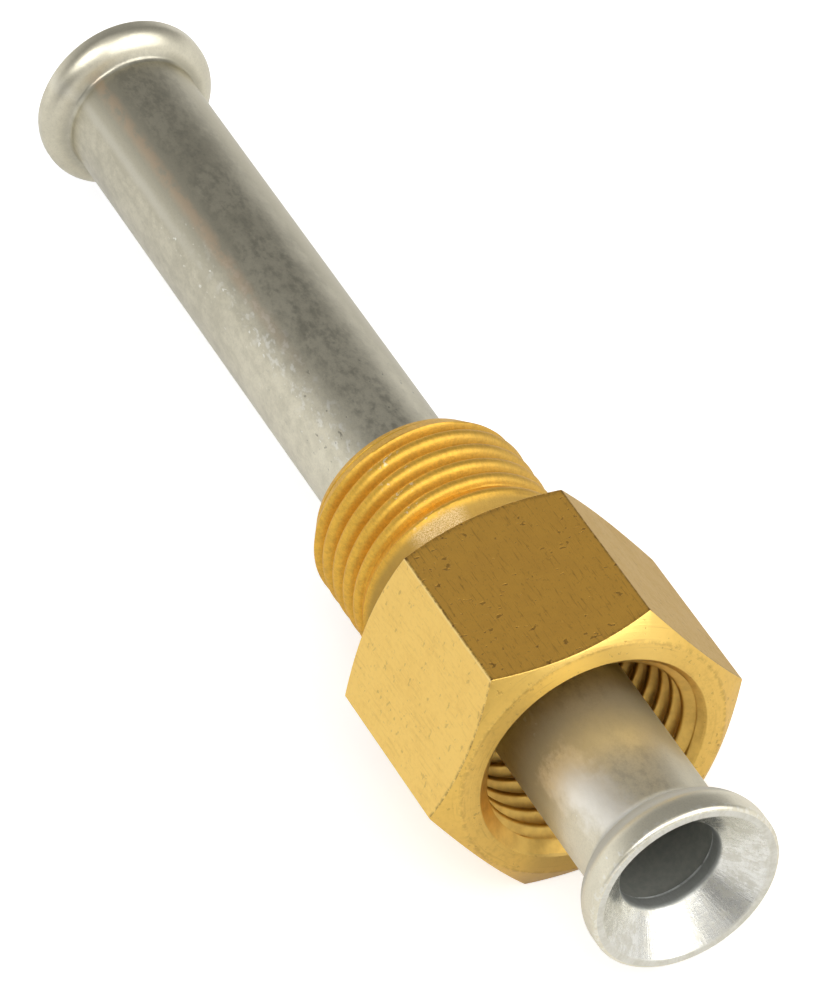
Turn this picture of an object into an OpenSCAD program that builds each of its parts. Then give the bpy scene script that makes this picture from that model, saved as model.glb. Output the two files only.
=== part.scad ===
// Radiator adapter fitting: a short cooler line with a double flare at both
// ends, and one brass adapter nut that stays captive on it between the flares.
//
// Frame: millimetres. X runs along the tube, with the far flare at -X and the
// mouth that the female thread surrounds at +X. Z is up. The fitting lies on
// one flat of the hexagon, and the origin is under the middle of the tube.

/* [Tube] */
// Overall length, from flare face to flare face
tube_len = 71.5; // [60:0.5:140]
// Outer diameter of the tube
tube_od = 7.94; // [7:0.01:8.6]
// Wall of the tube
tube_wall = 0.71; // [0.5:0.01:0.9]

/* [Double flare] */
// Outer diameter of the flare's rim
flare_od = 10.85; // [10.2:0.05:11.1]
// Length of the flare, from its face to the neck behind it
flare_len = 3.05; // [2.8:0.05:3.5]
// Slope of the sealing cone, from the tube's axis
cone_angle = 45; // [42:1:48]
// Slope of the flare's back, from the tube's axis
back_angle = 56; // [50:1:62]
// Width of the flat lip between the sealing cone and the rim
lip_w = 0.57; // [0.4:0.01:0.8]
// Rounding of the rim at its face
lip_round = 0.3; // [0.1:0.05:0.35]
// Rounding of the rim at its back
back_round = 2; // [0.4:0.1:2.4]
// Diameter of the throat at the end of the sealing cone
throat_d = 5.74; // [5.2:0.02:6.2]
// How far the folded ply reaches down the bore past the cone
ply_len = 0.9; // [0.4:0.1:2]

/* [Nut: hexagon] */
// Hexagon across the flats
hex_af = 16; // [15.5:0.1:19]
// Length of the hexagon
hex_len = 12; // [10:0.5:16]
// Diameter of the round face left inside the corner chamfers
hex_face_d = 15.5; // [14.4:0.1:15.9]
// Slope of the corner chamfers, from the face
hex_chamfer_angle = 30; // [20:1:35]

/* [Nut: male thread] */
// Major diameter of the male thread, a 1/2-20 thread
male_d = 12.7; // [12:0.05:13.2]
// Length of the nose, from its tip to the hexagon
male_len = 10.4; // [7:0.1:14]
// Chamfer at the tip of the nose, on the radius
nose_chamfer = 0.85; // [0.4:0.05:1.1]
// Slope of that chamfer, from the nose's axis
nose_chamfer_angle = 30; // [25:1:45]
// Diameter of the plain neck between the thread and the hexagon
neck_d = 11; // [10.4:0.1:11.6]
// Length of the neck
neck_len = 1.6; // [0.8:0.1:2.5]

/* [Nut: female thread] */
// Minor diameter of the female thread
female_d = 11.5; // [11.3:0.05:11.9]
// Depth of the threaded hole, from the nut's face to its floor
female_depth = 10.2; // [7:0.1:11]
// Diameter of the countersunk mouth
mouth_d = 13.3; // [12.8:0.1:14]
// Diameter of the undercut at the floor of the hole
undercut_d = 12.9; // [12:0.1:13.6]
// Length of the undercut
undercut_len = 1.4; // [0.6:0.1:2.5]

/* [Nut: fit on the tube] */
// Gap between the tube and the nut's bore, on the radius
bore_gap = 0.155; // [0.1:0.005:0.25]
// Diameter at the wide end of each flare seat
seat_d = 9.3; // [8.8:0.1:9.8]
// Distance from the near flare's face back to the nut's face
nut_setback = 10.55; // [2:0.05:35]

/* [Hidden] */
$fn = 96;

// Steps in each rounded corner of a profile
ROUND_STEPS = 6;
// Cuts run past the solid by this much
PAST = 1;

tube_r = tube_od / 2;
bore_r = tube_r - tube_wall;
flare_r = flare_od / 2;
throat_r = throat_d / 2;
lip_r = flare_r - lip_w;
cone_depth = (lip_r - throat_r) / tan(cone_angle);

// The back of the flare rises from the neck to the rim. Its rounding is held
// to the room that the back and the rim leave for it.
back_rise = flare_r - tube_r;
rim_len = flare_len - back_rise / tan(back_angle);
back_room = min(back_rise / sin(back_angle), rim_len - lip_round) * 0.95;
rim_round = min(back_round, back_room / tan(back_angle / 2));

nut_bore_r = tube_r + bore_gap;
seat_r = seat_d / 2;
seat_depth = (seat_r - nut_bore_r) / tan(back_angle);
nut_len = male_len + hex_len;
nut_start = tube_len - nut_setback - nut_len;
axis_height = hex_af / 2;
hex_corner_d = hex_af / cos(30);

// Points of a corner rounded with radius r, where the outline arrives at
// heading "from" and leaves at heading "to", turning left. The headings are
// degrees from the first axis.
function round_corner(corner, r, from, to) =
    let (
        turn = to - from,
        back = r * tan(turn / 2),
        start = corner - back * [cos(from), sin(from)],
        centre = start + r * [-sin(from), cos(from)]
    )
    [for (i = [0 : ROUND_STEPS])
        let (a = from - 90 + turn * i / ROUND_STEPS)
        centre + r * [cos(a), sin(a)]];

// Turns a profile of [along, radius] points about the tube's axis, with its
// zero at the given distance from the far flare's face.
module turned(start, profile) {
    along_tube(start)
        rotate_extrude()
            polygon([for (p = profile) [p[1], p[0]]]);
}

// Places what is drawn along +Z on the tube's axis
module along_tube(start) {
    translate([start - tube_len / 2, 0, axis_height])
        rotate([0, 90, 0])
            children();
}

// Outline of one flared end, from its neck round the rim and down the bore, as
// [distance from the flare's face, radius]. The wall folds back on itself at
// the mouth, which gives the double flare: the rim is two plies thick, and the
// inner ply ends a little down the bore.
function flared_end() = concat(
    [[flare_len, tube_r]],
    round_corner([rim_len, flare_r], rim_round, 180 - back_angle, 180),
    round_corner([0, flare_r], lip_round, 180, 270),
    [[0, lip_r],
     [cone_depth, throat_r],
     [cone_depth + ply_len, throat_r],
     [cone_depth + ply_len, bore_r]]
);

// The same end at the other end of the tube, in reverse order
function other_end(end) =
    [for (i = [len(end) - 1 : -1 : 0]) [tube_len - end[i][0], end[i][1]]];

// The cooler line, double flared at both ends
module flared_tube() {
    color([0.64, 0.62, 0.56])
        turned(0, concat(flared_end(), other_end(flared_end())));
}

// Hexagon with its corners chamfered at both ends
module hexagon() {
    face_r = hex_face_d / 2;
    past_r = hex_corner_d / 2 + PAST;
    drop = (past_r - face_r) * tan(hex_chamfer_angle);
    intersection() {
        along_tube(nut_start + male_len)
            linear_extrude(hex_len)
                rotate(30)
                    circle(d = hex_corner_d, $fn = 6);
        turned(nut_start + male_len, [
            [0, 0],
            [0, face_r],
            [drop, past_r],
            [hex_len - drop, past_r],
            [hex_len, face_r],
            [hex_len, 0]
        ]);
    }
}

// Nose with the male thread at its major diameter, and the neck behind it
module nose() {
    male_r = male_d / 2;
    neck_r = neck_d / 2;
    neck_step = male_r - neck_r;
    neck_start = male_len - neck_len;
    chamfer_len = nose_chamfer / tan(nose_chamfer_angle);
    turned(nut_start, [
        [0, 0],
        [0, male_r - nose_chamfer],
        [chamfer_len, male_r],
        [neck_start - neck_step, male_r],
        [neck_start, neck_r],
        [male_len + PAST, neck_r],
        [male_len + PAST, 0]
    ]);
}

// Everything that is cut from the nut along its axis: the seat at the nose,
// the bore for the tube, the seat at the floor of the threaded hole, and the
// threaded hole at its minor diameter with its undercut and mouth.
module nut_bore() {
    female_r = female_d / 2;
    mouth_r = mouth_d / 2;
    undercut_r = undercut_d / 2;
    floor_at = nut_len - female_depth;
    undercut_step = undercut_r - female_r;
    undercut_end = floor_at + undercut_len;
    mouth_step = mouth_r - female_r;
    past_seat_r = seat_r + PAST * tan(back_angle);
    turned(nut_start, [
        [-PAST, 0],
        [-PAST, past_seat_r],
        [seat_depth, nut_bore_r],
        [floor_at - seat_depth, nut_bore_r],
        [floor_at, seat_r],
        [floor_at, undercut_r],
        [undercut_end, undercut_r],
        [undercut_end + undercut_step, female_r],
        [nut_len - mouth_step, female_r],
        [nut_len + PAST, mouth_r + PAST],
        [nut_len + PAST, 0]
    ]);
}

// The captive brass nut
module adapter_nut() {
    color([0.80, 0.60, 0.26])
        difference() {
            union() {
                hexagon();
                nose();
            }
            nut_bore();
        }
}

flared_tube();
adapter_nut();
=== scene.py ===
"""Looks of a radiator adapter fitting: a short cooler line of plated steel with
a double flare at both ends, and the brass adapter nut that is captive on it.

The pieces are modelled in millimetres about the tube's own axis, which is the X
axis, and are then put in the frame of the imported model, which is in metres.
"""

import math
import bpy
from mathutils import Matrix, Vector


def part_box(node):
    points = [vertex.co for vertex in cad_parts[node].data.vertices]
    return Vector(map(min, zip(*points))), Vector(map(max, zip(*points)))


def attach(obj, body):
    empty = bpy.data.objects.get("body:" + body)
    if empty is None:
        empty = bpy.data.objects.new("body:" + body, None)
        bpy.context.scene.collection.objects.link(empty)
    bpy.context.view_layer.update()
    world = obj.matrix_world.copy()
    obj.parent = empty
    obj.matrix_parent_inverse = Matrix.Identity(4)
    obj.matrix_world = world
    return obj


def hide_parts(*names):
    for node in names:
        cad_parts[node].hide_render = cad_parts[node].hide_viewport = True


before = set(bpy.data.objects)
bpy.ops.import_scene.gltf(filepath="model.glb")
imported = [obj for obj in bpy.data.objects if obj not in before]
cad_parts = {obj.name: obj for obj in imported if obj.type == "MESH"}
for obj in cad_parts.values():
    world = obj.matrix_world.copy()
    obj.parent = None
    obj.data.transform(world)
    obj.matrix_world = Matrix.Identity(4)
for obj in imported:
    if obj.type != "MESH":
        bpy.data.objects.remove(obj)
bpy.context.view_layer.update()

from types import SimpleNamespace

import bmesh
import bpy
from mathutils import Matrix, Vector

bl_info = {
    "name": "Radiator adapter fitting",
    "version": (1, 0, 0),
    "blender": (4, 5, 0),
    "location": "View3D > Sidebar > Fitting",
    "description": "Models the flared cooler line and its brass adapter nut",
    "category": "Add Mesh",
}

MM = 0.001
TUBE_LOW, TUBE_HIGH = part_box("flared_tube")
NUT_LOW, NUT_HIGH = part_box("adapter_nut")
AXIS_HEIGHT = (NUT_LOW.z + NUT_HIGH.z) / 2

# Columns round the axis. It divides by 12, so that a column lies on each
# corner of the hexagon and on the middle of each flat.
COLUMNS = 192
# Points closer than this, in mm, are one point
WELD = 1e-4
# Edges that turn by more than this are shaded sharp
SHARP = math.radians(28)


# Settings


def size(name, description, mm):
    """A length that a user can change. It is given here in mm."""
    return bpy.props.FloatProperty(
        name=name, description=description, default=mm * MM, min=0, precision=5, unit="LENGTH"
    )


def slope(name, description, degrees):
    """An angle that a user can change."""
    return bpy.props.FloatProperty(
        name=name, description=description, default=math.radians(degrees), subtype="ANGLE"
    )


def colour(name, description, red, green, blue):
    """A colour that a user can change, in linear light."""
    return bpy.props.FloatVectorProperty(
        name=name,
        description=description,
        default=(red, green, blue),
        min=0,
        max=1,
        size=3,
        subtype="COLOR",
    )


def level(name, description, value):
    """A brightness or a share that a user can change."""
    return bpy.props.FloatProperty(
        name=name, description=description, default=value, min=0, subtype="FACTOR"
    )


class LineSettings(bpy.types.PropertyGroup):
    """Sizes and colours of the flared cooler line."""

    length: size("Length", "From flare face to flare face", (TUBE_HIGH.x - TUBE_LOW.x) / MM)
    diameter: size("Diameter", "Outer diameter of the tube", 7.94)
    wall: size("Wall", "Thickness of the tube's wall", 0.71)
    rim: size("Rim", "Outer diameter of the flare", (TUBE_HIGH.z - TUBE_LOW.z) / MM)
    flare: size("Flare", "Length of the flare, from its face to the neck", 3.05)
    back: slope("Back", "Slope of the flare's back, from the axis", 56)
    back_round: size("Back rounding", "Rounding between the back and the rim", 2.0)
    lip: size("Lip", "Width of the flat band at the face", 0.57)
    lip_round: size("Lip rounding", "Rounding of the rim at its face", 0.3)
    edge: size("Cone edge", "Rounding between the lip and the sealing cone", 0.12)
    cone: slope("Cone", "Slope of the sealing cone, from the axis", 45)
    throat: size("Throat", "Diameter where the sealing cone ends", 5.74)
    throat_edge: size("Throat edge", "Rounding between the cone and the throat", 0.36)
    ply: size("Ply", "How far the folded ply reaches past the cone", 0.9)
    ply_edge: size("Ply edge", "Rounding of the folded ply's end", 0.16)
    far_back: level("Far back", "Length of the far flare's back, as a share of the near one's", 0.65)
    lean: slope("Lean", "How far the far flare is out of square", 4.5)
    lean_toward: slope("Lean toward", "Side that leans outwards, from +Y toward +Z", 71)
    short: level("Short", "How much less the far flare's rim reaches on the other side", 0.045)
    plating: colour("Plating", "Bright zinc plating", 0.82, 0.77, 0.61)
    # Also the colour of the painted shade on the top and the sides of the tube, which also darkens
    # towards its far end
    tarnish_and_shade: colour("Tarnish", "Dull grey film on the plating", 0.50, 0.467, 0.360)
    rubbed: colour("Rubbed", "Plating where the flaring tool rubbed it", 0.84, 0.83, 0.77)


class NutSettings(bpy.types.PropertyGroup):
    """Sizes and colours of the brass adapter nut."""

    length: size("Length", "From the nose's tip to the mouth", (NUT_HIGH.x - NUT_LOW.x) / MM)
    flats: size("Across flats", "Hexagon across its flats", (NUT_HIGH.z - NUT_LOW.z) / MM)
    hexagon: size("Hexagon", "Length of the hexagon", 12)
    face: size("Face", "Diameter of the round face inside the corner chamfers", 15.5)
    chamfer: slope("Corner chamfer", "Slope of the corner chamfers, from the face", 30)
    edge: size("Edge", "Width of the rubbed edges of the hexagon", 0.07)
    pitch: size("Pitch", "Pitch of both threads", 1.27)
    major: size("Male major", "Outer diameter of the male thread", 12.7)
    root: size("Male root", "Diameter at the bottom of the male thread", 11.5)
    crest: size("Crest", "Width of the male thread's rounded crest", 0.52)
    first: size("First crest", "From the nose's tip to a crest, at the top", 0.85)
    fade: size("Fade", "Length over which the male thread runs out", 1.9)
    tip: size("Tip", "Diameter of the nose's tip", 11.0)
    tip_slope: slope("Tip chamfer", "Slope of the nose's chamfer, from the axis", 30)
    neck: size("Neck", "Diameter of the plain neck", 11.0)
    neck_length: size("Neck length", "Length of the plain neck", 1.6)
    neck_slope: slope("Neck slope", "Slope from the thread down to the neck", 33)
    minor: size("Female minor", "Inner diameter of the female thread", 11.5)
    valley: size("Female valley", "Diameter at the bottom of the female thread", 12.8)
    last: size("Last valley", "From the mouth back to a valley of the female thread, at the top", 0.26)
    mouth: size("Mouth", "Diameter of the countersunk mouth", 13.3)
    depth: size("Depth", "Depth of the threaded hole", 10.2)
    undercut: size("Undercut", "Diameter of the undercut at the hole's floor", 12.9)
    undercut_length: size("Undercut length", "Length of the undercut", 1.4)
    bore: size("Bore", "Diameter of the bore that runs on the tube", 8.25)
    seat: size("Seat", "Diameter at the wide end of each flare seat", 9.3)
    seat_slope: slope("Seat slope", "Slope of the flare seats, from the axis", 56)
    brass: colour("Brass", "Clean brass", 0.88, 0.58, 0.15)
    film: colour("Film", "Orange brown film on the upper flat", 1.0, 0.55, 0.095)
    # Painted light: a lighter copy of the brass, for the -Y flat and the upper part of the turned
    # faces
    bright: colour("Bright", "Brass of the flat on the -Y side", 1.0, 0.68, 0.19)
    # Painted shade: a darker copy of the brass, for the +Y flat, the lower part of the turned faces
    # and the +Y side of the male thread
    dull: colour("Dull", "Brass of the flat on the +Y side", 0.54, 0.36, 0.115)
    satin: colour("Satin", "Brass of the male thread", 0.87, 0.53, 0.085)
    stain: colour("Stain", "Brown stain in the brass", 0.42, 0.22, 0.05)


class StageSettings(bpy.types.PropertyGroup):
    """The floor, the lamps and the camera."""

    floor: colour("Floor", "Pale floor", 0.85, 0.85, 0.85)
    floor_seen: level("Floor seen", "How much the floor glows to the camera", 0.50)
    floor_mirrored: level("Floor mirrored", "How much the floor glows in reflections", 0.08)
    walls: level("Walls", "Light from the walls", 0.95)
    side: level("Side", "More light from the wall at the back, on the -Y side", 0.35)
    ceiling_back: level("Ceiling, back", "Light from the ceiling over the far flare", 0.36)
    ceiling_front: level("Ceiling, front", "Light from the ceiling over the near flare", 0.60)
    lean: level("Lean", "How much lower the ceiling starts on the +Y side", 0.325)
    spread: level("Spread", "How much lower the ceiling starts on both sides", 0.125)
    ceiling_start: level("Ceiling start", "Height of direction at which the walls begin to dim", 0.0)
    ceiling_full: level("Ceiling full", "Height of direction at which the ceiling begins", 0.80)
    overhead: level("Overhead", "More light from straight above", 0.3)
    card: level("Card", "How much a dark card beside the camera takes away", 0.6)
    card_bearing: slope("Card bearing", "Direction of the dark card", -42)
    card_rise: slope("Card height", "Direction of the dark card, above the floor", 20)
    window: level("Window", "More light from a soft patch above the camera", 3.6)
    window_bearing: slope("Window bearing", "Direction of the soft patch", -27)
    window_rise: slope("Window height", "Direction of the soft patch, above the floor", 57)
    lamp_size: size("Lamp size", "Diameter of the soft lamp", 580)
    lamp_distance: size("Lamp distance", "From the fitting to the lamp", 550)
    lamp_bearing: slope("Lamp bearing", "Direction of the lamp, from the mouth's side", 42)
    lamp_rise: slope("Lamp height", "Direction of the lamp, above the floor", 37)
    lamp_power: bpy.props.FloatProperty(
        name="Lamp power", description="Power of the soft lamp", default=1.6, unit="POWER"
    )
    lens: bpy.props.FloatProperty(
        name="Lens", description="Focal length of the camera", default=249.3, unit="CAMERA"
    )


def in_mm(group):
    """The settings of a group, with its lengths in mm and its other values as they are."""
    values = {}
    for name, prop in group.bl_rna.properties.items():
        if name in ("rna_type", "name"):
            continue
        value = getattr(group, name)
        if prop.type == "FLOAT" and prop.is_array:
            value = tuple(value)
        elif prop.unit == "LENGTH":
            value = value / MM
        values[name] = value
    return SimpleNamespace(**values)


# Modelling


def wire(bm, points):
    """Joins [along, radius] points, in mm, into a wire over the axis."""
    verts = [bm.verts.new((along, 0, radius)) for along, radius in points]
    for a, b in zip(verts, verts[1:]):
        bm.edges.new((a, b))
    return verts


def round_corner(bm, vert, radius, segments=6):
    """Rounds the corner that a wire makes at a vertex."""
    before, after = (e.other_vert(vert).co - vert.co for e in vert.link_edges)
    turn = math.pi - before.angle(after)
    bmesh.ops.bevel(
        bm,
        geom=[vert],
        offset=radius * math.tan(turn / 2),
        offset_type="OFFSET",
        segments=segments,
        profile=0.5,
        affect="VERTICES",
        material=-1,
        clamp_overlap=False,
    )


def turn_all(bm, advance=0.0):
    """Spins everything in a bmesh once round the axis, moved along it by advance."""
    full = advance == 0
    bmesh.ops.spin(
        bm,
        geom=bm.verts[:] + bm.edges[:],
        cent=(0, 0, 0),
        axis=(1, 0, 0),
        dvec=(advance / COLUMNS, 0, 0),
        angle=2 * math.pi,
        steps=COLUMNS,
        use_merge=full,
        use_duplicate=False,
    )
    bmesh.ops.remove_doubles(bm, verts=bm.verts[:], dist=WELD)


def radius_of(point):
    """Distance of a point from the axis."""
    return math.hypot(point.y, point.z)


def set_radius(vert, radius):
    """Moves a vertex straight out from the axis, or in towards it."""
    factor = radius / radius_of(vert.co)
    vert.co.y *= factor
    vert.co.z *= factor


def rub_edges(bm, width):
    """Bevels the outward edges that a piece has from its cutting."""
    bmesh.ops.recalc_face_normals(bm, faces=bm.faces)
    edges = [
        e for e in bm.edges
        if e.is_manifold and e.calc_face_angle_signed(0) > math.radians(24)
    ]
    bmesh.ops.bevel(
        bm,
        geom=edges,
        offset=width,
        offset_type="WIDTH",
        segments=3,
        profile=0.5,
        affect="EDGES",
        material=-1,
        clamp_overlap=True,
    )


def thread(start, end, pitch, low, high, low_flat, high_flat, first, limit):
    """A helical band, cut square at start and end, in mm.

    The profile has flats of the widths low_flat and high_flat at the radii low
    and high, with rounded corners, and one high flat begins at first. A
    right-hand spin makes it a thread, and limit gives the radius that a place
    along the axis is held to.
    """
    bm = bmesh.new()
    flank = (pitch - low_flat - high_flat) / 2
    begin = first - math.ceil((first - start) / pitch + 2) * pitch
    points = []
    for turn in range(math.ceil((end - begin) / pitch) + 1):
        at = begin + turn * pitch
        points += [
            (at, high),
            (at + high_flat, high),
            (at + high_flat + flank, low),
            (at + high_flat + flank + low_flat, low),
        ]
    lean = math.atan2(high - low, flank)
    for number, vert in enumerate(wire(bm, points)[1:-1], 1):
        flat = high_flat if number % 4 < 2 else low_flat
        round_corner(bm, vert, 0.46 * flat / math.tan(lean / 2), 5)
    middle = [e for e in bm.edges if abs(e.verts[0].co.z - e.verts[1].co.z) > 0.4 * (high - low)]
    bmesh.ops.subdivide_edges(bm, edges=middle, cuts=3)
    turn_all(bm, pitch)
    for vert in bm.verts:
        set_radius(vert, limit(vert.co.x, radius_of(vert.co)))
    for at, side in ((start, -1), (end, 1)):
        bmesh.ops.bisect_plane(
            bm,
            geom=bm.verts[:] + bm.edges[:] + bm.faces[:],
            dist=WELD,
            plane_co=(at, 0, 0),
            plane_no=(side, 0, 0),
            clear_outer=True,
        )
    return bm


def add_to(bm, part):
    """Adds a bmesh's faces to another one."""
    mesh = bpy.data.meshes.new("part")
    part.to_mesh(mesh)
    part.free()
    bm.from_mesh(mesh)
    bpy.data.meshes.remove(mesh)


def ring_at(bm, along):
    """The open ring of edges at a place along the axis."""
    return [
        e for e in bm.edges
        if e.is_boundary and all(abs(v.co.x - along) < 10 * WELD for v in e.verts)
    ]


def join_rings(bm, first, second):
    """Closes the gap between two open rings."""
    bmesh.ops.bridge_loops(bm, edges=ring_at(bm, first) + ring_at(bm, second))


def choose_finishes(bm, finish_of):
    """Gives each face the number of a material, picked by its place and its normal."""
    bmesh.ops.recalc_face_normals(bm, faces=bm.faces)
    for face in bm.faces:
        centre = face.calc_center_median()
        face.material_index = finish_of(centre.x, radius_of(centre), face.normal)


def finish_piece(bm, name, start, body, node, materials):
    """Puts a bmesh in the frame as the piece that stands for a CAD node."""
    if not all(edge.is_manifold for edge in bm.edges):
        raise RuntimeError(name + " isn't closed")
    bmesh.ops.recalc_face_normals(bm, faces=bm.faces)
    bmesh.ops.translate(bm, verts=bm.verts, vec=(start, 0, AXIS_HEIGHT / MM))
    bmesh.ops.scale(bm, verts=bm.verts, vec=(MM, MM, MM))
    for face in bm.faces:
        face.smooth = True
    for edge in bm.edges:
        edge.smooth = edge.calc_face_angle(0) < SHARP
    mesh = bpy.data.meshes.new(name)
    bm.to_mesh(mesh)
    bm.free()
    for material in materials:
        mesh.materials.append(material)
    piece = bpy.data.objects.new(name, mesh)
    bpy.context.scene.collection.objects.link(piece)
    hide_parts(node)
    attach(piece, body)
    shading = piece.modifiers.new("flat faces stay flat", "WEIGHTED_NORMAL")
    shading.weight = 80
    shading.keep_sharp = True
    return piece


def model_line(s):
    """The tube with its two flares, about the middle of its length."""
    bm = bmesh.new()
    end = s.length / 2
    tube_r, rim_r, throat_r = s.diameter / 2, s.rim / 2, s.throat / 2
    bore_r = tube_r - s.wall
    lip_r = rim_r - s.lip
    cone_end = end - (lip_r - throat_r) / math.tan(s.cone)
    ply_end = cone_end - s.ply
    rim_start = end - s.flare + (rim_r - tube_r) / math.tan(s.back)
    back_room = 0.95 * min((rim_r - tube_r) / math.sin(s.back), end - s.lip_round - rim_start)
    corners = wire(
        bm,
        [
            (0, tube_r),
            (end - s.flare, tube_r),
            (rim_start, rim_r),
            (end, rim_r),
            (end, lip_r),
            (cone_end, throat_r),
            (ply_end, throat_r),
            (ply_end, bore_r),
            (0, bore_r),
        ],
    )
    roundings = {
        1: (0.5, 5),
        2: (min(s.back_round, back_room / math.tan(s.back / 2)), 12),
        3: (s.lip_round, 6),
        4: (s.edge, 4),
        5: (s.throat_edge, 8),
        6: (s.ply_edge, 5),
    }
    for corner, (radius, segments) in roundings.items():
        round_corner(bm, corners[corner], radius, segments)
    long_edges = [e for e in bm.edges if e.calc_length() > 3]
    bmesh.ops.subdivide_edges(bm, edges=long_edges, cuts=11)
    turn_all(bm)
    bmesh.ops.mirror(
        bm,
        geom=bm.verts[:] + bm.edges[:] + bm.faces[:],
        matrix=Matrix.Identity(4),
        merge_dist=WELD,
        axis="X",
    )
    bmesh.ops.remove_doubles(bm, verts=bm.verts[:], dist=WELD)
    return bm


def shape_far_flare(bm, s):
    """Gives the far flare its shorter back, and turns its face out of square inside the length."""
    reach = 8.0
    toward_y, toward_z = math.cos(s.lean_toward), math.sin(s.lean_toward)
    for vert in bm.verts:
        depth = vert.co.x + s.length / 2
        radius = radius_of(vert.co)
        share = tilt = min(1.0, max(0.0, (s.flare + reach - depth) / reach))
        cone = s.rim / 2 - s.lip - depth + 0.1
        if radius > max(cone, s.diameter / 2 - s.wall / 2):
            vert.co.x -= share * (1 - s.far_back) * min(depth, s.flare)
            tilt = max(0.0, 1 - depth / s.flare)
        out = vert.co.y * toward_y + vert.co.z * toward_z
        vert.co.x += tilt * math.tan(s.lean) * (s.rim / 2 - out)
        rim = min(1.0, max(0.0, (radius - s.diameter / 2) / (s.rim / 2 - s.diameter / 2)))
        if depth < s.flare and out < 0:
            set_radius(vert, radius * (1 + rim * s.short * out / radius))


def model_nut(s):
    """The nut, from the tip of its nose at zero."""
    flat_r, face_r = s.flats / 2, s.face / 2
    major_r, root_r, tip_r, neck_r = s.major / 2, s.root / 2, s.tip / 2, s.neck / 2
    minor_r, valley_r, mouth_r = s.minor / 2, s.valley / 2, s.mouth / 2
    undercut_r, bore_r, seat_r = s.undercut / 2, s.bore / 2, s.seat / 2
    hex_start = s.length - s.hexagon
    neck_start = hex_start - s.neck_length
    floor = s.length - s.depth
    undercut_end = floor + s.undercut_length
    seat_depth = (seat_r - bore_r) / math.tan(s.seat_slope)

    def male_limit(along, radius):
        cone = tip_r + along * math.tan(s.tip_slope)
        step = max(neck_r, neck_r + (neck_start - along) * math.tan(s.neck_slope))
        fading = 1 - (neck_start - 0.9 - along) / s.fade
        filled = root_r + min(1, max(0, fading)) * (major_r - root_r)
        return min(max(radius, filled), cone, step)

    def female_limit(along, radius):
        mouth = mouth_r - (s.length - along)
        step = undercut_r - max(0, along - undercut_end)
        return max(radius, mouth, step)

    male_valley, female_valley, female_crest = 0.11 * s.pitch, 0.14 * s.pitch, 0.24 * s.pitch
    nose_ends = (0.06, neck_start + 0.06)
    hole_ends = (undercut_end + 0.03, s.length - 0.1)
    bm = bmesh.new()

    # Hexagon and neck: rings are spun, and then pushed out to the hexagon
    outer = bmesh.new()
    corner = flat_r / math.cos(math.radians(30))
    rise = (corner - face_r) * math.tan(s.chamfer)
    profile = wire(
        outer,
        [
            (nose_ends[1] + 0.05, neck_r),
            (hex_start, neck_r),
            (hex_start, face_r),
            (hex_start + rise, corner),
            (s.length - rise, corner),
            (s.length, face_r),
            (s.length, mouth_r),
            (hole_ends[1] + 0.05, mouth_r - 0.05),
        ],
    )
    round_corner(outer, profile[1], 0.15, 4)
    turn_all(outer)
    for vert in outer.verts:
        radius = radius_of(vert.co)
        if radius < face_r + WELD:
            continue
        angle = math.atan2(vert.co.z, vert.co.y)
        off_middle = angle % (math.pi / 3) - math.pi / 6
        side_r = flat_r / math.cos(abs(off_middle))
        drop = (side_r - face_r) * math.tan(s.chamfer)
        near_face = vert.co.x > s.length / 2 + hex_start / 2
        vert.co.x = s.length - drop if near_face else hex_start + drop
        set_radius(vert, side_r)
    rub_edges(outer, s.edge)
    add_to(bm, outer)

    # Bore and seats
    inner = bmesh.new()
    wire(
        inner,
        [
            (nose_ends[0] - 0.03, tip_r),
            (0, tip_r - 0.02),
            (0, seat_r),
            (seat_depth, bore_r),
            (floor - seat_depth, bore_r),
            (floor, seat_r),
            (floor, undercut_r),
            (hole_ends[0] - 0.05, undercut_r),
        ],
    )
    turn_all(inner)
    rub_edges(inner, s.edge)
    add_to(bm, inner)

    # Threads
    male = (root_r, major_r, male_valley, s.crest, s.first, male_limit)
    last = s.length - s.last - female_valley / 2
    female = (minor_r, valley_r, female_crest, female_valley, last, female_limit)
    add_to(bm, thread(*nose_ends, s.pitch, *male))
    add_to(bm, thread(*hole_ends, s.pitch, *female))
    for first, second in (
        (nose_ends[0], nose_ends[0] - 0.03),
        (nose_ends[1], nose_ends[1] + 0.05),
        (hole_ends[0], hole_ends[0] - 0.05),
        (hole_ends[1], hole_ends[1] + 0.05),
    ):
        join_rings(bm, first, second)
    bmesh.ops.remove_doubles(bm, verts=bm.verts[:], dist=WELD)
    return bm


# Materials


class Number:
    """A shader socket. Sums of it and of numbers add Math nodes."""

    def __init__(self, paint, socket):
        self.paint = paint
        self.socket = socket

    def math(self, operation, *values):
        return self.paint.node("ShaderNodeMath", {"operation": operation}, values)

    def __abs__(self):
        return self.math("ABSOLUTE", self)

    def __add__(self, other):
        return self.math("ADD", self, other)

    def __sub__(self, other):
        return self.math("SUBTRACT", self, other)

    def __rsub__(self, other):
        return self.math("SUBTRACT", other, self)

    def __mul__(self, other):
        return self.math("MULTIPLY", self, other)

    def __truediv__(self, other):
        return self.math("DIVIDE", self, other)

    def __pow__(self, other):
        return self.math("POWER", self, other)

    __radd__ = __add__
    __rmul__ = __mul__


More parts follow.
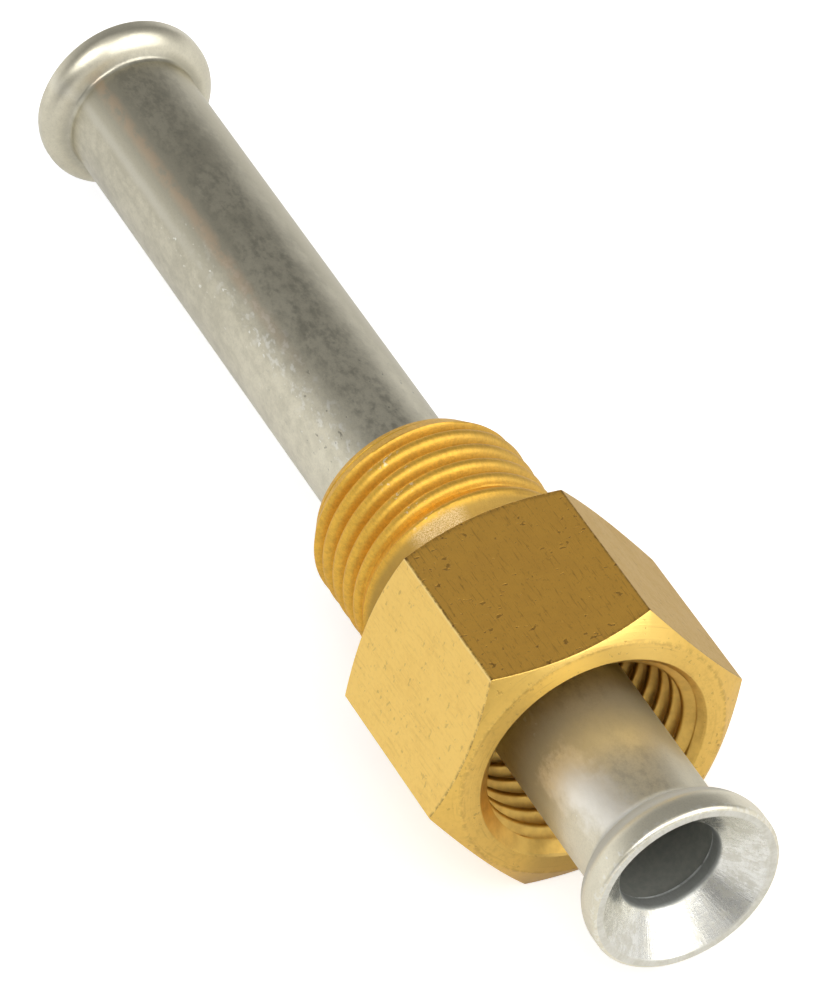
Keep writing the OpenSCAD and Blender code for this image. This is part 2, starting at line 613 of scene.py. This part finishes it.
class Paint:
    """The nodes of one material, or of the world."""

    def __init__(self, owner):
        self.owner = owner
        owner.use_nodes = True
        self.tree = owner.node_tree
        self.tree.nodes.clear()

    def node(self, kind, settings=None, values=(), output=0):
        """Adds a node, sets it up, gives its sockets values or links, and returns an output."""
        node = self.tree.nodes.new(kind)
        for name, value in (settings or {}).items():
            if name == "stops":
                ramp = node.color_ramp
                while len(ramp.elements) < len(value):
                    ramp.elements.new(1)
                for element, (place, shade) in zip(ramp.elements, value):
                    element.position = place
                    element.color = (*shade, 1)
            else:
                setattr(node, name, value)
        pairs = values.items() if isinstance(values, dict) else enumerate(values)
        for key, value in pairs:
            if isinstance(value, Number):
                self.tree.links.new(value.socket, node.inputs[key])
            else:
                node.inputs[key].default_value = value
        return Number(self, node.outputs[output]) if node.outputs else None

    def mix(self, factor, first, second):
        """Mixes two colours."""
        first, second = ((*c, 1) if isinstance(c, tuple) else c for c in (first, second))
        return self.node(
            "ShaderNodeMix", {"data_type": "RGBA"}, {0: factor, 6: first, 7: second}, output=2
        )

    def step(self, value, low, high):
        """Rises smoothly from 0 at low to 1 at high, or falls where low is the larger."""
        return self.node(
            "ShaderNodeMapRange",
            {"interpolation_type": "SMOOTHSTEP"},
            {"Value": value, "From Min": low, "From Max": high},
        )

    def place(self, stretch=(1, 1, 1)):
        """Object coordinates in mm, about the tube's axis, stretched along each axis."""
        here = self.node("ShaderNodeTexCoord", output="Object")
        centre = (0, 0, -AXIS_HEIGHT / MM * stretch[2])
        return self.node(
            "ShaderNodeMapping",
            None,
            {"Vector": here, "Location": centre, "Scale": tuple(f / MM for f in stretch)},
        )

    def split(self, vector):
        """The three parts of a vector."""
        parts = self.node("ShaderNodeSeparateXYZ", None, [vector])
        return [Number(self, parts.socket.node.outputs[i]) for i in range(3)]

    def radius(self, vector):
        """Distance from the axis, and the place along it."""
        x, y, z = self.split(vector)
        return x, (y * y + z * z) ** 0.5

    def toward(self, vector, direction):
        """How far a vector points in a direction."""
        values = [vector, tuple(direction)]
        return self.node("ShaderNodeVectorMath", {"operation": "DOT_PRODUCT"}, values, "Value")

    def noise(self, vector, scale, detail=2.0, roughness=0.5):
        """Soft noise between 0 and 1, scale features to the mm."""
        return self.node(
            "ShaderNodeTexNoise",
            None,
            {"Vector": vector, "Scale": scale, "Detail": detail, "Roughness": roughness},
        )

    def blots(self, vector, scale, level, soft=0.03):
        """Uneven spots, where noise rises above a level."""
        return self.step(self.noise(vector, scale, 2.0, 0.6), level, level + soft)

    def surface(self, colour, roughness, height, metallic=1.0, **values):
        """Makes the material's surface, with a bump height in mm, and returns the material."""
        normal = self.node("ShaderNodeBump", None, {"Height": height, "Distance": MM})
        sockets = {
            "Base Color": colour,
            "Metallic": metallic,
            "Roughness": roughness,
            "Normal": normal,
            **values,
        }
        shader = self.node("ShaderNodeBsdfPrincipled", None, sockets)
        self.node("ShaderNodeOutputMaterial", None, {"Surface": shader})
        return self.owner


def paint(name):
    """Starts a material."""
    return Paint(bpy.data.materials.new(name))


def direction_of(bearing, rise):
    """The direction with a bearing from +X toward +Y, that far above the floor."""
    flat = math.cos(rise)
    return Vector((flat * math.cos(bearing), flat * math.sin(bearing), math.sin(rise)))


def plated_outside(s):
    """Zinc plating on the outside of the tube: softly mottled, with pits and nicks, painted shade on
    its top, its sides, its creases and in front of the nut, and painted highlights along a seam, in
    glints and between the nut and the near flare.
    """
    p = paint("plated_outside")
    here, longer = p.place(), p.place((0.6, 1, 1))
    x, y, z = p.split(here)
    around = z.math("ARCTAN2", z, y)
    clouds = p.noise(here, 0.3, 2.0)
    mottle = p.noise(longer, 1.3, 3.0, 0.6)
    spots = p.noise(longer, 3.2, 3.0, 0.65)
    grain = p.noise(here, 9.0, 2.0, 0.6)
    near_end, far_end = s.length / 2 - s.flare, s.length / 2 - s.flare * s.far_back
    flare = p.step(x, near_end - 0.1, near_end + 0.3) + p.step(x, -far_end + 0.1, -far_end - 0.3)
    tube = 1 - flare
    front = p.step(x, 22.0, 26.0)
    far = p.step(x, 6.0, -26.0)
    # Painted shade: the +Y side of the tube is darker and browner
    side = p.step(y, 2.1, 3.4) * tube
    # Painted shade: a darker band along the top of the tube
    band = p.step(abs(around - 1.52), 0.46, 0.18) * tube * (1 - front * 0.5)
    # Painted shade: a darker band along the upper -Y side of the tube, more so at the far end
    shoulder = p.step(abs(around - 2.15), 0.45, 0.2) * tube
    # The dull mask mixes random tarnish with the painted shade of the top and the sides, and darkens
    # towards the far end
    dull = p.step(clouds * 0.3 + mottle * 0.4 + spots * 0.3, 0.38, 0.64) * 0.45
    dull = dull + far * 0.5 + side * (0.8 + far * 0.4) + band * 0.28
    dull = dull + shoulder * (0.2 + far * 0.3)
    dull = dull * (1 - flare * 0.5) * (1 - front * 0.5)
    shade = p.mix(dull, s.plating, s.tarnish_and_shade)
    shade = p.mix(side * (0.6 + far * 0.3), shade, (0.50, 0.455, 0.315))
    # Painted shade: darker mottling in the band along the top; the grain is the plating's own tone
    dark = p.step(mottle * 0.5 + spots * 0.5, 0.44, 0.66) * band * 0.42
    dark = dark + p.step(grain, 0.40, 0.80) * 0.14
    shade = p.mix(dark, shade, (0.24, 0.23, 0.19))
    # Painted glints: light flecks on the upper -Y side of the tube, and between the nut and the near
    # flare
    bright = p.blots(longer, 2.6, 0.52, 0.16) * p.step(abs(around - 2.15), 0.35, 0.1)
    bright = bright * (p.step(x, -24.0, -8.0) * (1 - front) + p.step(abs(x - 28.8), 1.8, 0.4)) * tube
    shade = p.mix(bright * 0.4, shade, (0.96, 0.95, 0.90))
    streak = p.step(abs(around - 2.08 + mottle * 0.12), 0.15, 0.02) * p.step(x, -2.0, -18.0) * tube
    shade = p.mix(streak * p.step(mottle, 0.3, 0.55) * 0.6, shade, (0.70, 0.53, 0.36))
    near_nut = p.step(abs(x + 2.0), 8.0, 1.0)
    pits = p.blots(longer, 2.8, 0.66, 0.08) * near_nut * p.step(z, 0.8, 2.6)
    nicks = p.blots(longer, 3.0, 0.66, 0.05) * p.step(abs(around - 2.4), 0.4, 0.1)
    nicks = nicks * p.step(x, -24.0, -20.0)
    # Painted highlight: a thin light line along the tube's seam, at the far end
    seam_highlight = p.step(abs(around - 2.41 + mottle * 0.08), 0.12, 0.01) * p.step(x, -14.0, -24.0)
    shade = p.mix(pits * 0.6, shade, (0.16, 0.15, 0.12))
    shade = p.mix(nicks * 0.6 + seam_highlight * 0.14, shade, (0.95, 0.94, 0.88))
    # Painted shade in the creases where the tube meets its flares
    crease_shade = p.step(abs(x - near_end), 0.35, 0.05) * 0.3 + p.step(abs(x + far_end), 0.25, 0.03)
    shade = p.mix(crease_shade * 0.3, shade, (0.36, 0.35, 0.30))
    # Painted highlight on the -Y side of the tube between the nut and the near flare
    wander = around + (mottle - 0.5) * 0.5 + (x - 29.5) * 0.05
    lit = p.step(abs(wander - 2.24), 0.50, 0.10) * p.step(x + (spots - 0.5) * 3.0, 25.6, 27.6) * tube
    # Painted shade on the tube just in front of the nut
    mouth = p.step(x, 30.2, 26.6) * front * (1 - lit)
    shade = p.mix(mouth * 0.75, shade, (0.44, 0.42, 0.31))
    shade = p.mix(lit * (0.85 - dull * 0.5), shade, (1.0, 0.99, 0.94))
    face = s.length / 2
    rubbed = p.step(x, face - 0.55, face - 0.30) * p.blots(here, 3.4, 0.50, 0.10)
    shade = p.mix(rubbed * 0.4, shade, (0.98, 0.97, 0.91))
    back = p.step(abs(x - near_end - 0.6), 1.1, 0.7)
    shade = p.mix(back * 0.6, shade, (0.52, 0.52, 0.49))
    rough = 0.26 + mottle * 0.06 + grain * 0.05 + front * 0.07 * tube + back * 0.4
    height = mottle * 0.010 * (1 - front * 0.6) * (1 - flare * 0.5) + spots * 0.0035
    height = height + grain * 0.0014 - pits * 0.010 + nicks * 0.006
    return p.surface(shade, rough, height, metallic=1 - back * 0.6 - mouth * 0.25)


def plated_seat(s):
    """The sealing cone, the throat and the lip: drawn outwards by the flaring tool."""
    p = paint("plated_seat")
    here = p.place()
    x, radius = p.radius(here)
    lip_r, throat_r = s.rim / 2 - s.lip, s.throat / 2
    lip = p.step(radius, lip_r - 0.12, lip_r + 0.02)
    ply = p.step(radius, throat_r + 0.17, throat_r + 0.03)
    ply_end = s.length / 2 - (lip_r - throat_r) / math.tan(s.cone) - s.ply
    # Painted highlight on the end of the folded ply inside the throat
    painted_ply_highlight = p.step(abs(abs(x) - ply_end - 0.06), 0.20, 0.06) * ply
    around = p.node("ShaderNodeVectorMath", {"operation": "NORMALIZE"}, [p.place((0, 1, 1))])
    along = p.node("ShaderNodeCombineXYZ", None, [x * 0.05, 0.0, 0.0])
    around = p.node("ShaderNodeVectorMath", {"operation": "ADD"}, [around, along])
    drag = p.noise(around, 30.0, 3.0, 0.65)
    grain = p.noise(here, 6.0, 2.0, 0.6)
    mottle = p.noise(here, 1.6, 3.0, 0.6)
    dull = p.step(mottle * 0.45 + drag * 0.3 + grain * 0.25, 0.40, 0.62)
    shade = p.mix(dull * 0.5, s.rubbed, s.tarnish_and_shade)
    shade = p.mix(lip * 0.45, shade, (0.64, 0.61, 0.51))
    specks = p.blots(here, 4.0, 0.62, 0.06) * p.step(radius, s.rim / 2 - 0.35, s.rim / 2 - 0.1)
    shade = p.mix(specks * 0.4, shade, (0.30, 0.27, 0.20))
    shade = p.mix(ply * 0.85, shade, (0.19, 0.20, 0.19))
    shade = p.mix(painted_ply_highlight * p.step(mottle, 0.3, 0.6), shade, (0.85, 0.87, 0.84))
    rough = 0.21 + dull * 0.12 + lip * 0.14 + ply * 0.2
    height = drag * 0.010 * (1 - lip) + grain * 0.004 + mottle * 0.007
    return p.surface(shade, rough, height, metallic=1 - ply * 0.6)


def plated_bore(s):
    """The bore: dull and dark."""
    p = paint("plated_bore")
    here = p.place()
    grain = p.noise(here, 2.5, 3.0, 0.7)
    fine = p.noise(here, 9.0, 2.0, 0.6)
    shade = p.mix(p.step(grain, 0.3, 0.7), (0.40, 0.41, 0.37), (0.48, 0.48, 0.43))
    return p.surface(shade, 0.5 + grain * 0.06, fine * 0.004, metallic=0.6)


def brass_bar(s):
    """The flats of the hexagon, as the bar was drawn: brown film on top, fine lines and nicks, painted
    light on the -Y flat, painted shade on the +Y flat, and painted shade and a painted highlight at
    the ridges.
    """
    p = paint("brass_bar")
    here = p.place()
    x, y, z = p.split(here)
    radius = (y * y + z * z) ** 0.5
    half = s.flats / 2
    ridge = half * 0.577
    top = p.step(z, half - 0.08, half - 0.02)
    left = p.step(z * 0.5 - y * 0.866, half - 0.08, half - 0.02)
    right = p.step(y * 0.866 + z * 0.5, half - 0.08, half - 0.02)
    clouds = p.noise(here, 0.5, 3.0, 0.6)
    dents = p.noise(p.place((0.6, 1, 1)), 1.5, 2.0, 0.6)
    grain = p.noise(here, 4.0, 3.0, 0.7)
    fine = p.noise(here, 12.0, 2.0, 0.6)
    drawn = p.noise(p.place((0.09, 1, 1)), 8.0, 2.0, 0.6)
    hairs = p.step(drawn, 0.56, 0.70)
    dots = p.blots(p.place((0.5, 1, 1)), 6.0, 0.59, 0.10)
    nicks = p.blots(p.place((1, 0.6, 0.6)), 3.0, 0.64, 0.06)
    uneven = p.step(grain, 0.36, 0.56)
    cut = (radius - s.face / 2) * math.tan(s.chamfer)
    front_gap = NUT_HIGH.x / MM - cut - x
    back_gap = x - cut - (NUT_HIGH.x / MM - s.hexagon)
    ends = p.step(front_gap, 0.26, 0.04) + p.step(back_gap, 0.45, 0.05) * top
    # Painted shade along the top flat's ridges, and a painted highlight along the -Y flat's edge next
    # to the top flat
    ridge_shade = p.step(abs(y), ridge - 0.16, ridge - 0.02) * top
    ridge_highlight = p.step(z * 0.866 + y * 0.5, ridge - 0.22, ridge - 0.08) * left * (1 - top)
    worn = p.step(clouds * 0.35 + grain * 0.4 + drawn * 0.25, 0.42, 0.64)
    shade = p.mix(top * 0.92, s.brass, s.film)
    # Painted light and shade: the -Y flat gets a lighter copy of the brass, the +Y flat a darker one
    shade = p.mix(left * 0.85, shade, s.bright)
    shade = p.mix(right * 0.75, shade, s.dull)
    shade = p.mix(p.step(clouds + dents * 0.5, 0.60, 0.90) * top * 0.1, shade, (0.36, 0.20, 0.05))
    shade = p.mix(worn * (0.09 + top * 0.06) + fine * (0.04 + top * 0.05), shade, s.stain)
    # Fine lines, dots, nicks and darker ends of the flats, with painted shade along the top flat's
    # ridges
    marks_and_ridge_shade = hairs * (0.07 + top * 0.24) + dots * (0.08 + top * 0.16) + nicks * (0.25 + top * 0.3)
    marks_and_ridge_shade = marks_and_ridge_shade + (ends * (0.42 + left * 0.2) + ridge_shade * 0.5) * uneven
    shade = p.mix(marks_and_ridge_shade, shade, (0.22, 0.11, 0.03))
    shade = p.mix(ridge_highlight * 0.7, shade, (1.0, 0.76, 0.31))
    rough = 0.33 + worn * 0.08 + grain * 0.06 + right * 0.14
    height = drawn * 0.004 + grain * 0.006 + dents * 0.02 + fine * 0.002
    height = height - nicks * 0.010 - dots * 0.003
    return p.surface(shade, rough, height)


def brass_turned(s):
    """Faces that were cut on the lathe: fine rings about the axis, with a few nicks, painted light on
    their upper part and painted shade on their lower part.
    """
    p = paint("brass_turned")
    here = p.place()
    x, y, z = p.split(here)
    radius = (y * y + z * z) ** 0.5
    around = z.math("ARCTAN2", z, y)
    rings = p.noise(p.node("ShaderNodeCombineXYZ", None, [x, radius, 0.0]), 9.0, 2.0, 0.6)
    arcs = p.noise(p.node("ShaderNodeCombineXYZ", None, [x, radius, around * 0.5]), 5.0, 2.0, 0.6)
    grain = p.noise(here, 3.0, 3.0, 0.6)
    fine = p.noise(here, 12.0, 2.0, 0.6)
    nicks = p.blots(here, 3.2, 0.65, 0.05)
    corner = p.step(abs(radius - s.face / 2), 0.20, 0.02) * p.step(grain, 0.38, 0.60)
    chamfer = p.step(radius, s.face / 2 - 0.05, s.face / 2 + 0.15)
    shade = p.mix(p.step(grain, 0.42, 0.75) * 0.2 + fine * 0.04, s.brass, s.stain)
    shade = p.mix(chamfer * 0.35, shade, (0.82, 0.52, 0.11))
    # Painted light on the upper part of the turned faces, painted shade on their lower part
    shade = p.mix(p.step(abs(around - 1.35), 0.75, 0.25) * 0.85, shade, s.bright)
    shade = p.mix(p.step(abs(around + 1.95), 0.45, 0.15) * 0.7, shade, s.dull)
    scored = p.step(arcs, 0.58, 0.72) * 0.18
    shade = p.mix(nicks * 0.35 + corner * 0.28 + scored, shade, (0.36, 0.19, 0.05))
    rough = 0.31 + rings * 0.12
    return p.surface(shade, rough, rings * 0.012 + grain * 0.004 - nicks * 0.008)


def brass_thread(s):
    """The male thread and its neck: satin, with lines across it, a rough neck, painted shade on the +Y
    side and on the neck, and painted highlights on the neck and on crests near the top.
    """
    p = paint("brass_thread")
    here = p.place()
    x, y, z = p.split(here)
    radius = (y * y + z * z) ** 0.5
    around = z.math("ARCTAN2", z, y)
    neck_at = NUT_HIGH.x / MM - s.hexagon - s.neck_length
    neck = p.step(x, neck_at - 1.25, neck_at - 0.85)
    speckle = p.noise(here, 18.0, 2.0, 0.6)
    grain = p.noise(here, 2.0, 3.0, 0.6)
    fine = p.noise(here, 10.0, 2.0, 0.6)
    cross = p.noise(p.place((0.5, 2, 2)), 3.0, 2.0, 0.6)
    crest = p.step(radius, s.major / 2 - 0.14, s.major / 2 - 0.04)
    nicks = p.blots(here, 3.6, 0.58, 0.06) * crest * p.step(abs(around - 1.86), 0.20, 0.04)
    rubs = p.step(cross * 0.6 + fine * 0.4, 0.42, 0.60)
    shade = p.mix(p.step(grain, 0.42, 0.75) * 0.2 + rubs * 0.22, s.satin, s.stain)
    # Painted shade on the +Y side of the thread
    shade = p.mix(p.step(y, 1.0, 5.0) * 0.4, shade, s.dull)
    # Painted shade on the neck next to the hexagon
    shade = p.mix(neck * 0.8, shade, (0.52, 0.35, 0.10))
    # Painted highlight: cream speckles on the upper part of the neck
    painted_neck_highlight = neck * p.step(abs(around - 1.80), 0.34, 0.16) * p.step(speckle, 0.38, 0.60)
    shade = p.mix(painted_neck_highlight * 0.7, shade, (1.0, 0.82, 0.52))
    # The nicks are dented, and painted as cream glints on the crests near the top
    shade = p.mix(nicks * 0.6, shade, (0.98, 0.90, 0.68))
    rough = 0.48 + grain * 0.08 + neck * 0.12
    height = grain * 0.006 + cross * 0.012 + fine * (0.007 + neck * 0.009) - nicks * 0.012
    return p.surface(shade, rough, height)


def brass_hole(s):
    """The bore and the female thread: duller and browner."""
    p = paint("brass_hole")
    here = p.place()
    grain = p.noise(here, 1.5, 3.0, 0.6)
    fine = p.noise(here, 6.0, 2.0, 0.6)
    shade = p.mix(p.step(grain, 0.3, 0.8) * 0.35, s.brass, s.stain)
    return p.surface(shade, 0.32 + grain * 0.1, grain * 0.004 + fine * 0.003)


# Operators


class FITTING_OT_line(bpy.types.Operator):
    """Model the flared cooler line."""

    bl_idname = "fitting.line"
    bl_label = "Cooler line"

    def execute(self, context):
        s = in_mm(context.scene.fitting_line)
        middle = (TUBE_LOW.x + TUBE_HIGH.x) / 2 / MM
        seat_offset = s.length / 2 - s.rim / 2 + s.lip - 0.4
        ply_end = s.length / 2 - (s.rim / 2 - s.lip - s.throat / 2) / math.tan(s.cone) - s.ply

        def finish_of(along, radius, normal):
            inside = radius < s.diameter / 2 - s.wall / 2
            if radius < abs(along) - seat_offset or (inside and abs(along) > ply_end):
                return 1
            return 2 if inside else 0

        bm = model_line(s)
        choose_finishes(bm, finish_of)
        shape_far_flare(bm, s)
        finish_piece(
            bm, "flared_line", middle, "tube", "flared_tube",
            [plated_outside(s), plated_seat(s), plated_bore(s)],
        )
        return {"FINISHED"}


class FITTING_OT_nut(bpy.types.Operator):
    """Model the brass adapter nut."""

    bl_idname = "fitting.nut"
    bl_label = "Adapter nut"

    def execute(self, context):
        s = in_mm(context.scene.fitting_nut)
        hex_start = s.length - s.hexagon
        hole = s.mouth / 2 - 0.05

        def finish_of(along, radius, normal):
            if along > hex_start and radius > s.flats / 2 - 0.1 and abs(normal.x) < 0.3:
                return 0
            if radius < s.tip / 2 - 0.05 or (along > hex_start and radius < hole - s.edge):
                return 3
            return 2 if along < hex_start - 0.1 else 1

        bm = model_nut(s)
        choose_finishes(bm, finish_of)
        finish_piece(
            bm, "captive_nut", NUT_LOW.x / MM, "nut", "adapter_nut",
            [brass_bar(s), brass_turned(s), brass_thread(s), brass_hole(s)],
        )
        return {"FINISHED"}


class FITTING_OT_stage(bpy.types.Operator):
    """Make the floor, the lamps and the camera."""

    bl_idname = "fitting.stage"
    bl_label = "Stage"

    def execute(self, context):
        scene = context.scene
        s = scene.fitting_stage

        bm = bmesh.new()
        bmesh.ops.create_grid(bm, x_segments=1, y_segments=1, size=3)
        mesh = bpy.data.meshes.new("floor")
        bm.to_mesh(mesh)
        bm.free()
        floor = bpy.data.objects.new("floor", mesh)
        scene.collection.objects.link(floor)
        p = paint("pale_floor")
        lit = p.node("ShaderNodeBsdfDiffuse", None, {"Color": (*s.floor, 1)})
        seen = p.node("ShaderNodeLightPath", output="Is Camera Ray")
        mirrored = p.node("ShaderNodeLightPath", output="Is Glossy Ray")
        glow = seen * s.floor_seen + mirrored * s.floor_mirrored
        glow = p.node("ShaderNodeEmission", None, {"Strength": glow})
        both = p.node("ShaderNodeAddShader", None, [lit, glow])
        p.node("ShaderNodeOutputMaterial", None, {"Surface": both})
        mesh.materials.append(p.owner)

        # The studio: pale walls, a dimmer ceiling, a dark card, and one large soft lamp
        scene.world = bpy.data.worlds.new("studio")
        w = Paint(scene.world)
        direction = w.node("ShaderNodeTexCoord", output="Generated")
        x, y, z = w.split(direction)
        walls = w.step(x * -0.7 - y * 0.7, 0.2, 0.9) * s.side + s.walls
        ceiling = w.step(x, -0.5, 0.5) * (s.ceiling_front - s.ceiling_back) + s.ceiling_back
        lowered = z + y * s.lean + abs(y) * s.spread
        height = w.step(lowered, s.ceiling_start, s.ceiling_full)
        strength = walls + height * (ceiling - walls) + w.step(z, 0.86, 0.97) * s.overhead
        window = w.toward(direction, direction_of(s.window_bearing, s.window_rise))
        card = w.toward(direction, direction_of(s.card_bearing, s.card_rise))
        strength = strength + w.step(window, 0.92, 0.985) * s.window
        strength = strength * (1 - w.step(card, 0.93, 0.985) * s.card)
        light = w.node("ShaderNodeBackground", None, {"Strength": strength})
        w.node("ShaderNodeOutputWorld", None, {"Surface": light})

        lamp = bpy.data.objects.new("softbox", bpy.data.lights.new("softbox", "AREA"))
        scene.collection.objects.link(lamp)
        lamp.data.shape = "DISK"
        lamp.data.size = s.lamp_size
        lamp.data.energy = s.lamp_power
        toward = direction_of(s.lamp_bearing, s.lamp_rise)
        lamp.location = toward * s.lamp_distance
        lamp.rotation_euler = toward.to_track_quat("Z", "Y").to_euler()

        camera = bpy.data.objects.new("camera", bpy.data.cameras.new("camera"))
        scene.collection.objects.link(camera)
        camera.data.sensor_width = 36
        camera.data.lens = s.lens
        camera.data.clip_start = 0.01
        camera.data.clip_end = 10
        right = Vector((0.435315, 0.892487, -0.118183))
        up = Vector((-0.606727, 0.387818, 0.693888))
        back = Vector((0.665119, -0.230355, 0.710319))
        turn = Matrix((right, up, back)).transposed().to_4x4()
        turn.translation = Vector((0.2534317, -0.0866568, 0.2755142))
        camera.matrix_world = turn
        scene.camera = camera

        scene.view_settings.view_transform = "Standard"
        return {"FINISHED"}


class FITTING_PT_panel(bpy.types.Panel):
    """Lists the pieces in the sidebar."""

    bl_label = "Adapter fitting"
    bl_idname = "FITTING_PT_panel"
    bl_space_type = "VIEW_3D"
    bl_region_type = "UI"
    bl_category = "Fitting"

    def draw(self, context):
        for operator, settings in STEPS:
            self.layout.operator(operator)
            group = getattr(context.scene, settings)
            for name in group.bl_rna.properties.keys():
                if name not in ("rna_type", "name"):
                    self.layout.prop(group, name)


STEPS = (
    ("fitting.line", "fitting_line"),
    ("fitting.nut", "fitting_nut"),
    ("fitting.stage", "fitting_stage"),
)
GROUPS = {
    "fitting_line": LineSettings,
    "fitting_nut": NutSettings,
    "fitting_stage": StageSettings,
}
CLASSES = (
    LineSettings,
    NutSettings,
    StageSettings,
    FITTING_OT_line,
    FITTING_OT_nut,
    FITTING_OT_stage,
    FITTING_PT_panel,
)


def register():
    for cls in CLASSES:
        bpy.utils.register_class(cls)
    for name, group in GROUPS.items():
        setattr(bpy.types.Scene, name, bpy.props.PointerProperty(type=group))


def unregister():
    for name in GROUPS:
        delattr(bpy.types.Scene, name)
    for cls in reversed(CLASSES):
        bpy.utils.unregister_class(cls)


def main():
    register()
    bpy.ops.fitting.line()
    bpy.ops.fitting.nut()
    bpy.ops.fitting.stage()


if __name__ == "__main__":
    main()
